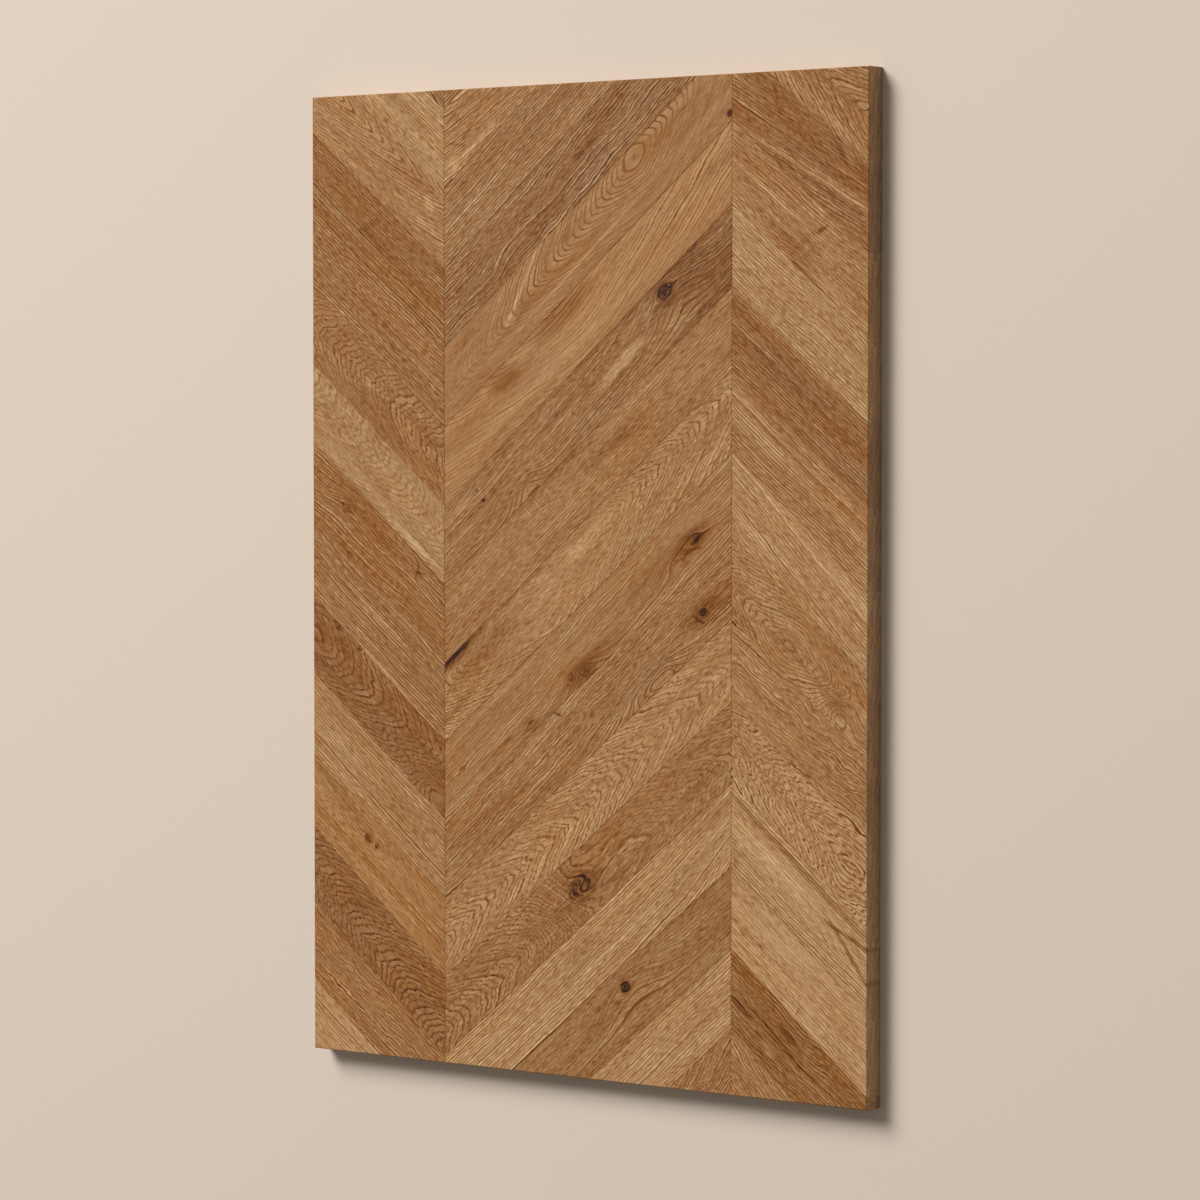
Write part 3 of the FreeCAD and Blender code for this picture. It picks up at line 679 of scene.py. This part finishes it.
def grown_wood(tree, number, name, notes):
    """The place on a stave, the same place bent by its grain, and the tone of its wood."""
    band, in_band = name.split("_stave_")
    place = add(tree, "ShaderNodeMapping", {"vector_type": "TEXTURE"}, {
        "Vector": add(tree, "ShaderNodeTexCoord").outputs["Object"],
        "Location": [value / PER_METRE for value in grid_start(band, int(in_band))],
        "Rotation": (0, 0, BANDS[band]["turn"]),
        "Scale": (1 / PER_METRE, -1 / PER_METRE, 1 / PER_METRE)}).outputs[0]
    body = notes["body"]
    for along, down, radius, dark in notes["knots"]:
        around = add(tree, "ShaderNodeGroup", {"node_tree": knot}, {
            "Place": place, "Shade": body, "Centre": (along, down, 0), "Radius": radius,
            "Dark": dark}).outputs
        place, body = around["Place"], around["Shade"]
    swell = with_spots(tree, place, 0.0, notes["swells"], SOFT_EDGE)
    lines = with_spots(tree, place, notes["lines"], notes["calm"], FIRM_EDGE)
    drawn = add(tree, "ShaderNodeGroup", {"node_tree": grain}, {
        "Place": place, "Seed": number * SEED_SPACING, "Heart": (*notes["heart"], 0), "Lean": notes["lean"],
        "Taper": notes["taper"], "Round": notes["round"], "Bow": notes["bow"], "Swell": swell,
        "Ring width": notes["ring"], "Wave": notes["wave"], "Wave scale": notes["scale"],
        "Teeth": notes["teeth"], "Line share": notes["share"], "Lines": lines, "Dashes": notes["dashes"],
        "Bands": notes["bands"], "Streaks": notes["streaks"], "Flecks": notes["flecks"]}).outputs
    tone = add(tree, MATH, {"operation": "ADD"}, {0: drawn["Tone"], 1: body}).outputs[0]
    return place, drawn["Place"], with_spots(tree, drawn["Place"], tone, notes["patches"], FIRM_EDGE)


print("a spot of 100 by 10 mm:", spot_at(0, 0, 100, 10, 0.1))

# %% [markdown]
# The outline was sawn last, across the staves. There the growth layers of each stave are cut at a slant and
# show as long thin bands with a rough, dry look. They are a millimetre or two thick on real oak and are
# drawn about four apart. Whatever doesn't face up, the back as well, counts as sawn and not as face.

# %% The layers on the sawn sides
LAYER_SIZE = (60, 24, 1.8)
LAYER_SLANT = radians(14)
LAYER_STRENGTH = 0.9
FACES_UP = 0.5


def with_layers(tree, bent_place, tone):
    """Where a stave is sawn, as 0 or 1, and its tone with the growth layers that show there."""
    normal = add(tree, "ShaderNodeNewGeometry").outputs["True Normal"]
    facing = add(tree, "ShaderNodeSeparateXYZ", None, {0: normal}).outputs[2]
    sawn = add(tree, MATH, {"operation": "LESS_THAN"}, {0: facing, 1: FACES_UP}).outputs[0]
    slanted = add(tree, "ShaderNodeMapping", {"vector_type": "TEXTURE"}, {
        "Vector": bent_place, "Rotation": (LAYER_SLANT, 0, 0), "Scale": LAYER_SIZE}).outputs[0]
    layers = add(tree, NOISE, None, {"Vector": slanted, "Scale": 1, "Detail": 1}).outputs[0]
    layer_shade = add(tree, MATH, {"operation": "SUBTRACT"}, {0: layers, 1: MIDDLE}).outputs[0]
    layer_tone = add(tree, MATH, {"operation": "MULTIPLY"}, {0: layer_shade, 1: sawn}).outputs[0]
    return sawn, add(tree, MATH, {"operation": "MULTIPLY_ADD"},
                     {0: layer_tone, 1: LAYER_STRENGTH, 2: tone}).outputs[0]


print("layers slant", round(LAYER_SLANT, 3), "radians")

# %% [markdown]
# The tone picks a colour on the path of oiled oak. Wood of one tone isn't all of one tint: over a few
# fingers' breadth it drifts by a degree or two of hue, towards yellow where there is less colour in it and
# towards red where there is more. The sawn sides are mixed with a pale grey-brown that makes them greyer,
# as sawn wood that drank less oil, and lighter, as painted fill light on the shaded sawn edge.

# %% The colour of one stave
DRIFT = patch_size(120, 28)
DRIFT_STEP = 2.3
DRIFT_DEPTH = 5
DRIFT_DEGREES = 4
DRIFT_WARMTH = 0.14
CIRCLE = 360
SAWN_GREY_AND_FILL_COLOUR = "#B79F82"
SAWN_GREY_AND_FILL_SHARE = 0.35


def oiled_colour(tree, number, notes, place, tone, sawn):
    """The colour of the oiled wood, from its tone."""
    path = add(tree, "ShaderNodeValToRGB", None, {0: tone})
    path.color_ramp.elements[0].color = linear(OAK[0][1])
    path.color_ramp.elements[1].color = linear(OAK[-1][1])
    for step, colour in OAK[1:-1]:
        path.color_ramp.elements.new(step).color = linear(colour)
    drifting = add(tree, VECTOR, {"operation": "MULTIPLY"}, {0: place, 1: DRIFT}).outputs[0]
    moved = add(tree, VECTOR, {"operation": "ADD"}, {0: drifting, 1: (number * DRIFT_STEP, 0, DRIFT_DEPTH)})
    tint = add(tree, NOISE, None, {"Vector": moved.outputs[0], "Scale": 1, "Detail": 1}).outputs[0]
    even_hue = MIDDLE + (notes["yellow"] - DRIFT_DEGREES / 2) / CIRCLE
    hue = add(tree, MATH, {"operation": "MULTIPLY_ADD"}, {
        0: tint, 1: DRIFT_DEGREES / CIRCLE, 2: even_hue}).outputs[0]
    warmth = add(tree, MATH, {"operation": "MULTIPLY_ADD"}, {
        0: tint, 1: -DRIFT_WARMTH, 2: notes["warmth"] + DRIFT_WARMTH / 2}).outputs[0]
    warmed = add(tree, "ShaderNodeHueSaturation", None, {
        "Color": path.outputs[0], "Saturation": warmth, "Hue": hue}).outputs[0]
    # Partly painted fill light: the pale grey-brown mix greys the sawn sides and also lightens the shaded
    # sawn edge.
    sawn_grey_and_fill = add(tree, MATH, {"operation": "MULTIPLY"}, {0: sawn, 1: SAWN_GREY_AND_FILL_SHARE}).outputs[0]
    return add(tree, "ShaderNodeMixRGB", None, {0: sawn_grey_and_fill, 1: warmed, 2: linear(SAWN_GREY_AND_FILL_COLOUR)}).outputs[0]


print("sawn oak is mixed with", SAWN_GREY_AND_FILL_SHARE, "of", SAWN_GREY_AND_FILL_COLOUR)

# %% [markdown]
# The finish is oil, rubbed into planed and lightly brushed oak, with an index of about 1.5. It leaves a
# soft satin that is duller in the dark pores than on the pale wood, and a low specular level, because the
# open pores swallow much of the gloss. The brush leaves shallow furrows along the grain, half a millimetre
# apart on real oak and drawn about two apart so that they show.

# %% The finish of one stave
FURROWS = patch_size(22, 1.1)


def oiled_oak(number, name, notes):
    """The material of one stave, from its card."""
    material = bpy.data.materials.new("oiled_oak_" + name)
    material.use_nodes = True
    tree = material.node_tree
    shader = tree.nodes["Principled BSDF"]
    shader.inputs["IOR"].default_value = 1.5
    shader.inputs["Specular IOR Level"].default_value = 0.15
    place, bent_place, grown_tone = grown_wood(tree, number, name, notes)
    sawn, tone = with_layers(tree, bent_place, grown_tone)
    tree.links.new(oiled_colour(tree, number, notes, place, tone, sawn), shader.inputs["Base Color"])
    dull = add(tree, "ShaderNodeMapRange", None, {
        "Value": tone, "From Min": 0.4, "From Max": 0.9, "To Min": 0.68, "To Max": 0.54}).outputs[0]
    tree.links.new(dull, shader.inputs["Roughness"])
    brushed = add(tree, VECTOR, {"operation": "MULTIPLY"}, {0: place, 1: FURROWS}).outputs[0]
    furrows = add(tree, NOISE, None, {"Vector": brushed, "Scale": 1, "Detail": 1}).outputs[0]
    relief = add(tree, "ShaderNodeBump", None, {"Height": furrows, "Strength": 0.35, "Distance": 0.0003})
    tree.links.new(relief.outputs[0], shader.inputs["Normal"])
    return material


print("furrows take a scale of", FURROWS)

# %% [markdown]
# Every stave gets its own material. Its number in the list of cards is its seed, so no two are cut from the
# same part of the log.

# %% Dress the staves
for number, (name, notes) in enumerate(sorted(cards.items())):
    staves[name].data.materials.clear()
    staves[name].data.materials.append(oiled_oak(number, name, notes))
print("dressed", len(cards), "staves")
